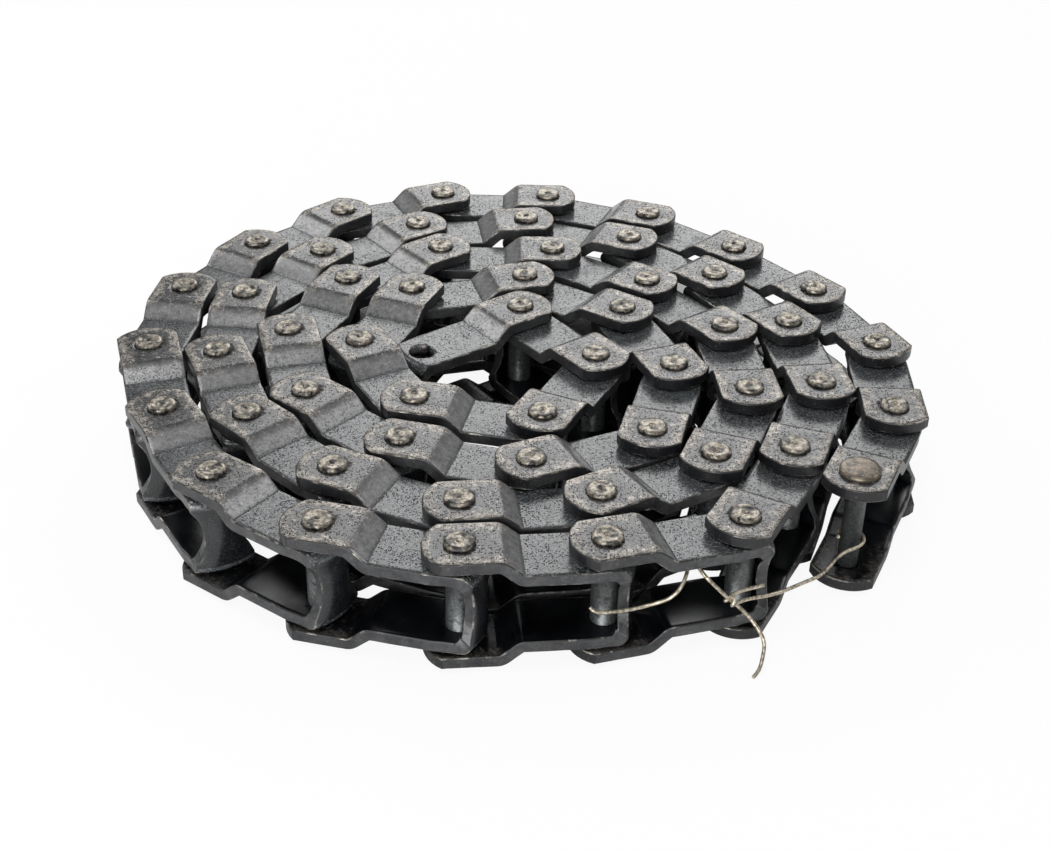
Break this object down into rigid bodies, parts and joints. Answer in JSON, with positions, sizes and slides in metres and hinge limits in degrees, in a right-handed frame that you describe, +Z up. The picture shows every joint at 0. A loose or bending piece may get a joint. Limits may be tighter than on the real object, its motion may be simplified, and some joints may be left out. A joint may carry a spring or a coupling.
{
  "type": "pintle conveyor chain",
  "caption": "Formed-steel pintle conveyor chain coiled flat: joggled strip links with rolled barrel ends, riveted pins and a loose connecting pin.",
  "frame": {"origin": "under the centre of the coil, on the plane that its pin heads rest on", "axes": "+Z up along every hinge axis; +X and +Y across the coil, with the outer end of the strand at +X -Y"},
  "size_m": [0.367, 0.3518, 0.0556],
  "materials": {
    "black_link": "glossy black dip paint, worn on edges and pin heads",
    "worn_pin": "forged steel pin, black with bare brown-grey head"
  },
  "bodies": {
    "link_00": {"link_00": "black_link"},
    "link_01": {"link_01": "black_link"},
    "link_02": {"link_02": "black_link"},
    "link_03": {"link_03": "black_link"},
    "link_04": {"link_04": "black_link"},
    "link_05": {"link_05": "black_link"},
    "link_06": {"link_06": "black_link"},
    "link_07": {"link_07": "black_link"},
    "link_08": {"link_08": "black_link"},
    "link_09": {"link_09": "black_link"},
    "link_10": {"link_10": "black_link"},
    "link_11": {"link_11": "black_link"},
    "link_12": {"link_12": "black_link"},
    "link_13": {"link_13": "black_link"},
    "link_14": {"link_14": "black_link"},
    "link_15": {"link_15": "black_link"},
    "link_16": {"link_16": "black_link"},
    "link_17": {"link_17": "black_link"},
    "link_18": {"link_18": "black_link"},
    "link_19": {"link_19": "black_link"},
    "link_20": {"link_20": "black_link"},
    "link_21": {"link_21": "black_link"},
    "link_22": {"link_22": "black_link"},
    "link_23": {"link_23": "black_link"},
    "link_24": {"link_24": "black_link"},
    "link_25": {"link_25": "black_link"},
    "link_26": {"link_26": "black_link"},
    "link_27": {"link_27": "black_link"},
    "link_28": {"link_28": "black_link"},
    "link_29": {"link_29": "black_link"},
    "link_30": {"link_30": "black_link"},
    "link_31": {"link_31": "black_link"},
    "link_32": {"link_32": "black_link"},
    "link_33": {"link_33": "black_link"},
    "link_34": {"link_34": "black_link"},
    "link_35": {"link_35": "black_link"},
    "link_36": {"link_36": "black_link"},
    "link_37": {"link_37": "black_link"},
    "link_38": {"link_38": "black_link"},
    "link_39": {"link_39": "black_link"},
    "link_40": {"link_40": "black_link"},
    "link_41": {"link_41": "black_link"},
    "link_42": {"link_42": "black_link"},
    "link_43": {"link_43": "black_link"},
    "link_44": {"link_44": "black_link"},
    "link_45": {"link_45": "black_link"},
    "link_46": {"link_46": "black_link"},
    "link_47": {"link_47": "black_link"},
    "link_48": {"link_48": "black_link"},
    "link_49": {"link_49": "black_link"},
    "link_50": {"link_50": "black_link"},
    "link_51": {"link_51": "black_link"},
    "link_52": {"link_52": "black_link"},
    "connecting_pin": {"connecting_pin": "worn_pin", "connecting_pin_washer": "worn_pin"}
  },
  "joints": [
    {"name": "hinge_01", "type": "hinge", "parent": "link_01", "child": "link_00", "pos_m": [0.16569, -0.05346, 0.0279], "axis": [0, 0, -1], "range_deg": [-100, 0]},
    {"name": "hinge_02", "type": "hinge", "parent": "link_02", "child": "link_01", "pos_m": [0.16769, 0.00365, 0.0279], "axis": [0, 0, -1], "range_deg": [-25, 0]},
    {"name": "hinge_03", "type": "hinge", "parent": "link_03", "child": "link_02", "pos_m": [0.14536, 0.05626, 0.0279], "axis": [0, 0, -1], "range_deg": [-15, 0]},
    {"name": "hinge_04", "type": "hinge", "parent": "link_04", "child": "link_03", "pos_m": [0.11017, 0.10129, 0.0279], "axis": [0, 0, -1], "range_deg": [-10, 0]},
    {"name": "hinge_05", "type": "hinge", "parent": "link_05", "child": "link_04", "pos_m": [0.0677, 0.13953, 0.0279], "axis": [0, 0, -1], "range_deg": [-21, 0]},
    {"name": "hinge_06", "type": "hinge", "parent": "link_06", "child": "link_05", "pos_m": [0.01435, 0.16001, 0.0279], "axis": [0, 0, -1], "range_deg": [-21, 0]},
    {"name": "hinge_07", "type": "hinge", "parent": "link_07", "child": "link_06", "pos_m": [-0.0428, 0.16001, 0.0279], "axis": [0, 0, -1], "range_deg": [-25, 0]},
    {"name": "hinge_08", "type": "hinge", "parent": "link_08", "child": "link_07", "pos_m": [-0.0946, 0.13586, 0.0279], "axis": [0, 0, -1], "range_deg": [-21, 0]},
    {"name": "hinge_09", "type": "hinge", "parent": "link_09", "child": "link_08", "pos_m": [-0.1343, 0.09475, 0.0279], "axis": [0, 0, -1], "range_deg": [-15, 0]},
    {"name": "hinge_10", "type": "hinge", "parent": "link_10", "child": "link_09", "pos_m": [-0.16201, 0.04477, 0.0279], "axis": [0, 0, -1], "range_deg": [-23, 0]},
    {"name": "hinge_11", "type": "hinge", "parent": "link_11", "child": "link_10", "pos_m": [-0.16798, -0.01207, 0.0279], "axis": [0, 0, -1], "range_deg": [-23, 0]},
    {"name": "hinge_12", "type": "hinge", "parent": "link_12", "child": "link_11", "pos_m": [-0.15127, -0.06672, 0.0279], "axis": [0, 0, -1], "range_deg": [-14, 0]},
    {"name": "hinge_13", "type": "hinge", "parent": "link_13", "child": "link_12", "pos_m": [-0.12184, -0.11571, 0.0279], "axis": [0, 0, -1], "range_deg": [-24, 0]},
    {"name": "hinge_14", "type": "hinge", "parent": "link_14", "child": "link_13", "pos_m": [-0.07502, -0.14849, 0.0279], "axis": [0, 0, -1], "range_deg": [-22, 0]},
    {"name": "hinge_15", "type": "hinge", "parent": "link_15", "child": "link_14", "pos_m": [-0.01934, -0.16135, 0.0279], "axis": [0, 0, -1], "range_deg": [-19, 0]},
    {"name": "hinge_16", "type": "hinge", "parent": "link_16", "child": "link_15", "pos_m": [0.0375, -0.15537, 0.0279], "axis": [0, 0, -1], "range_deg": [-11, 0]},
    {"name": "hinge_17", "type": "hinge", "parent": "link_17", "child": "link_16", "pos_m": [0.09215, -0.13866, 0.0279], "axis": [0, 0, -1], "range_deg": [-46, 0]},
    {"name": "hinge_18", "type": "hinge", "parent": "link_18", "child": "link_17", "pos_m": [0.1181, -0.08774, 0.0279], "axis": [0, 0, -1], "range_deg": [-8, 0]},
    {"name": "hinge_19", "type": "hinge", "parent": "link_19", "child": "link_18", "pos_m": [0.1367, -0.03371, 0.0279], "axis": [0, 0, -1], "range_deg": [-27, 0]},
    {"name": "hinge_20", "type": "hinge", "parent": "link_20", "child": "link_19", "pos_m": [0.12875, 0.02289, 0.0279], "axis": [0, 0, -1], "range_deg": [-25, 0]},
    {"name": "hinge_21", "type": "hinge", "parent": "link_21", "child": "link_20", "pos_m": [0.09763, 0.07082, 0.0279], "axis": [0, 0, -1], "range_deg": [-13, 0]},
    {"name": "hinge_22", "type": "hinge", "parent": "link_22", "child": "link_21", "pos_m": [0.05651, 0.11052, 0.0279], "axis": [0, 0, -1], "range_deg": [-24, 0]},
    {"name": "hinge_23", "type": "hinge", "parent": "link_23", "child": "link_22", "pos_m": [0.00281, 0.13006, 0.0279], "axis": [0, 0, -1], "range_deg": [-29, 0]},
    {"name": "hinge_24", "type": "hinge", "parent": "link_24", "child": "link_23", "pos_m": [-0.05364, 0.12112, 0.0279], "axis": [0, 0, -1], "range_deg": [-27, 0]},
    {"name": "hinge_25", "type": "hinge", "parent": "link_25", "child": "link_24", "pos_m": [-0.09987, 0.08753, 0.0279], "axis": [0, 0, -1], "range_deg": [-20, 0]},
    {"name": "hinge_26", "type": "hinge", "parent": "link_26", "child": "link_25", "pos_m": [-0.13183, 0.04015, 0.0279], "axis": [0, 0, -1], "range_deg": [-30, 0]},
    {"name": "hinge_27", "type": "hinge", "parent": "link_26", "child": "link_27", "pos_m": [-0.13581, -0.01686, 0.0279], "axis": [0, 0, 1], "range_deg": [-26, 0]},
    {"name": "hinge_28", "type": "hinge", "parent": "link_27", "child": "link_28", "pos_m": [-0.11441, -0.06985, 0.0279], "axis": [0, 0, 1], "range_deg": [-24, 0]},
    {"name": "hinge_29", "type": "hinge", "parent": "link_28", "child": "link_29", "pos_m": [-0.0733, -0.10955, 0.0279], "axis": [0, 0, 1], "range_deg": [-21, 0]},
    {"name": "hinge_30", "type": "hinge", "parent": "link_29", "child": "link_30", "pos_m": [-0.02069, -0.13188, 0.0279], "axis": [0, 0, 1], "range_deg": [-31, 0]},
    {"name": "hinge_31", "type": "hinge", "parent": "link_30", "child": "link_31", "pos_m": [0.0359, -0.12392, 0.0279], "axis": [0, 0, 1], "range_deg": [-24, 0]},
    {"name": "hinge_32", "type": "hinge", "parent": "link_31", "child": "link_32", "pos_m": [0.08437, -0.09364, 0.0279], "axis": [0, 0, 1], "range_deg": [-38, 0]},
    {"name": "hinge_33", "type": "hinge", "parent": "link_32", "child": "link_33", "pos_m": [0.10392, -0.03993, 0.0279], "axis": [0, 0, 1], "range_deg": [-26, 0]},
    {"name": "hinge_34", "type": "hinge", "parent": "link_33", "child": "link_34", "pos_m": [0.09794, 0.0169, 0.0279], "axis": [0, 0, 1], "range_deg": [-31, 0]},
    {"name": "hinge_35", "type": "hinge", "parent": "link_34", "child": "link_35", "pos_m": [0.06355, 0.06254, 0.0279], "axis": [0, 0, 1], "range_deg": [-18, 0]},
    {"name": "hinge_36", "type": "hinge", "parent": "link_35", "child": "link_36", "pos_m": [0.01673, 0.09532, 0.0279], "axis": [0, 0, 1], "range_deg": [-36, 0]},
    {"name": "hinge_37", "type": "hinge", "parent": "link_36", "child": "link_37", "pos_m": [-0.04041, 0.09433, 0.0279], "axis": [0, 0, 1], "range_deg": [-39, 0]},
    {"name": "hinge_38", "type": "hinge", "parent": "link_37", "child": "link_38", "pos_m": [-0.08419, 0.05759, 0.0279], "axis": [0, 0, 1], "range_deg": [-27, 0]},
    {"name": "hinge_39", "type": "hinge", "parent": "link_38", "child": "link_39", "pos_m": [-0.10652, 0.00498, 0.0279], "axis": [0, 0, 1], "range_deg": [-38, 0]},
    {"name": "hinge_40", "type": "hinge", "parent": "link_39", "child": "link_40", "pos_m": [-0.09173, -0.05022, 0.0279], "axis": [0, 0, 1], "range_deg": [-35, 0]},
    {"name": "hinge_41", "type": "hinge", "parent": "link_40", "child": "link_41", "pos_m": [-0.04795, -0.08695, 0.0279], "axis": [0, 0, 1], "range_deg": [-26, 0]},
    {"name": "hinge_42", "type": "hinge", "parent": "link_41", "child": "link_42", "pos_m": [0.00751, -0.10078, 0.0279], "axis": [0, 0, 1], "range_deg": [-40, 0]},
    {"name": "hinge_43", "type": "hinge", "parent": "link_42", "child": "link_43", "pos_m": [0.05887, -0.07573, 0.0279], "axis": [0, 0, 1], "range_deg": [-51, 0]},
    {"name": "hinge_44", "type": "hinge", "parent": "link_43", "child": "link_44", "pos_m": [0.07173, -0.02004, 0.0279], "axis": [0, 0, 1], "range_deg": [-35, 0]},
    {"name": "hinge_45", "type": "hinge", "parent": "link_44", "child": "link_45", "pos_m": [0.05032, 0.03295, 0.0279], "axis": [0, 0, 1], "range_deg": [-34, 0]},
    {"name": "hinge_46", "type": "hinge", "parent": "link_45", "child": "link_46", "pos_m": [0.00294, 0.06491, 0.0279], "axis": [0, 0, 1], "range_deg": [-50, 0]},
    {"name": "hinge_47", "type": "hinge", "parent": "link_46", "child": "link_47", "pos_m": [-0.05199, 0.04915, 0.0279], "axis": [0, 0, 1], "range_deg": [-53, 0]},
    {"name": "hinge_48", "type": "hinge", "parent": "link_47", "child": "link_48", "pos_m": [-0.07248, -0.0042, 0.0279], "axis": [0, 0, 1], "range_deg": [-51, 0]},
    {"name": "hinge_49", "type": "hinge", "parent": "link_48", "child": "link_49", "pos_m": [-0.0439, -0.05369, 0.0279], "axis": [0, 0, 1], "range_deg": [-49, 0]},
    {"name": "hinge_50", "type": "hinge", "parent": "link_49", "child": "link_50", "pos_m": [0.0122, -0.0646, 0.0279], "axis": [0, 0, 1], "range_deg": [-76, 0]},
    {"name": "hinge_51", "type": "hinge", "parent": "link_50", "child": "link_51", "pos_m": [0.03635, -0.0128, 0.0279], "axis": [0, 0, 1], "range_deg": [-63, 0]},
    {"name": "hinge_52", "type": "hinge", "parent": "link_51", "child": "link_52", "pos_m": [0.00117, 0.03223, 0.0279], "axis": [0, 0, 1], "range_deg": [-90, 0]},
    {"name": "connecting_pin_spin", "type": "hinge", "parent": "link_00", "child": "connecting_pin", "pos_m": [0.14245, -0.10567, 0.0279], "axis": [0, 0, 1], "continuous": true}
  ],
  "couplings": [
    {"joint": "hinge_02", "follows": "hinge_27", "ratio": 0.96154},
    {"joint": "hinge_03", "follows": "hinge_27", "ratio": 0.57692},
    {"joint": "hinge_04", "follows": "hinge_27", "ratio": 0.38461},
    {"joint": "hinge_05", "follows": "hinge_27", "ratio": 0.80769},
    {"joint": "hinge_06", "follows": "hinge_27", "ratio": 0.80769},
    {"joint": "hinge_07", "follows": "hinge_27", "ratio": 0.96154},
    {"joint": "hinge_08", "follows": "hinge_27", "ratio": 0.80769},
    {"joint": "hinge_09", "follows": "hinge_27", "ratio": 0.57692},
    {"joint": "hinge_10", "follows": "hinge_27", "ratio": 0.88462},
    {"joint": "hinge_11", "follows": "hinge_27", "ratio": 0.88462},
    {"joint": "hinge_12", "follows": "hinge_27", "ratio": 0.53846},
    {"joint": "hinge_13", "follows": "hinge_27", "ratio": 0.92308},
    {"joint": "hinge_14", "follows": "hinge_27", "ratio": 0.84615},
    {"joint": "hinge_15", "follows": "hinge_27", "ratio": 0.73077},
    {"joint": "hinge_16", "follows": "hinge_27", "ratio": 0.42308},
    {"joint": "hinge_17", "follows": "hinge_27", "ratio": 1.7692},
    {"joint": "hinge_18", "follows": "hinge_27", "ratio": 0.30769},
    {"joint": "hinge_19", "follows": "hinge_27", "ratio": 1.0385},
    {"joint": "hinge_20", "follows": "hinge_27", "ratio": 0.96154},
    {"joint": "hinge_21", "follows": "hinge_27", "ratio": 0.5},
    {"joint": "hinge_22", "follows": "hinge_27", "ratio": 0.92308},
    {"joint": "hinge_23", "follows": "hinge_27", "ratio": 1.1154},
    {"joint": "hinge_24", "follows": "hinge_27", "ratio": 1.0385},
    {"joint": "hinge_25", "follows": "hinge_27", "ratio": 0.76923},
    {"joint": "hinge_26", "follows": "hinge_27", "ratio": 1.1538},
    {"joint": "hinge_28", "follows": "hinge_27", "ratio": 0.92308},
    {"joint": "hinge_29", "follows": "hinge_27", "ratio": 0.80769},
    {"joint": "hinge_30", "follows": "hinge_27", "ratio": 1.1923},
    {"joint": "hinge_31", "follows": "hinge_27", "ratio": 0.92308},
    {"joint": "hinge_32", "follows": "hinge_27", "ratio": 1.4615},
    {"joint": "hinge_33", "follows": "hinge_27", "ratio": 1},
    {"joint": "hinge_34", "follows": "hinge_27", "ratio": 1.1923},
    {"joint": "hinge_35", "follows": "hinge_27", "ratio": 0.69231},
    {"joint": "hinge_36", "follows": "hinge_27", "ratio": 1.3846},
    {"joint": "hinge_37", "follows": "hinge_27", "ratio": 1.5},
    {"joint": "hinge_38", "follows": "hinge_27", "ratio": 1.0385},
    {"joint": "hinge_39", "follows": "hinge_27", "ratio": 1.4615},
    {"joint": "hinge_40", "follows": "hinge_27", "ratio": 1.3462},
    {"joint": "hinge_41", "follows": "hinge_27", "ratio": 1},
    {"joint": "hinge_42", "follows": "hinge_27", "ratio": 1.5385},
    {"joint": "hinge_43", "follows": "hinge_27", "ratio": 1.9615},
    {"joint": "hinge_44", "follows": "hinge_27", "ratio": 1.3462},
    {"joint": "hinge_45", "follows": "hinge_27", "ratio": 1.3077},
    {"joint": "hinge_46", "follows": "hinge_27", "ratio": 1.9231},
    {"joint": "hinge_47", "follows": "hinge_27", "ratio": 2.0385},
    {"joint": "hinge_48", "follows": "hinge_27", "ratio": 1.9615},
    {"joint": "hinge_49", "follows": "hinge_27", "ratio": 1.8846},
    {"joint": "hinge_50", "follows": "hinge_27", "ratio": 2.9231},
    {"joint": "hinge_51", "follows": "hinge_27", "ratio": 2.4231},
    {"joint": "hinge_52", "follows": "hinge_27", "ratio": 3.4615}
  ]
}
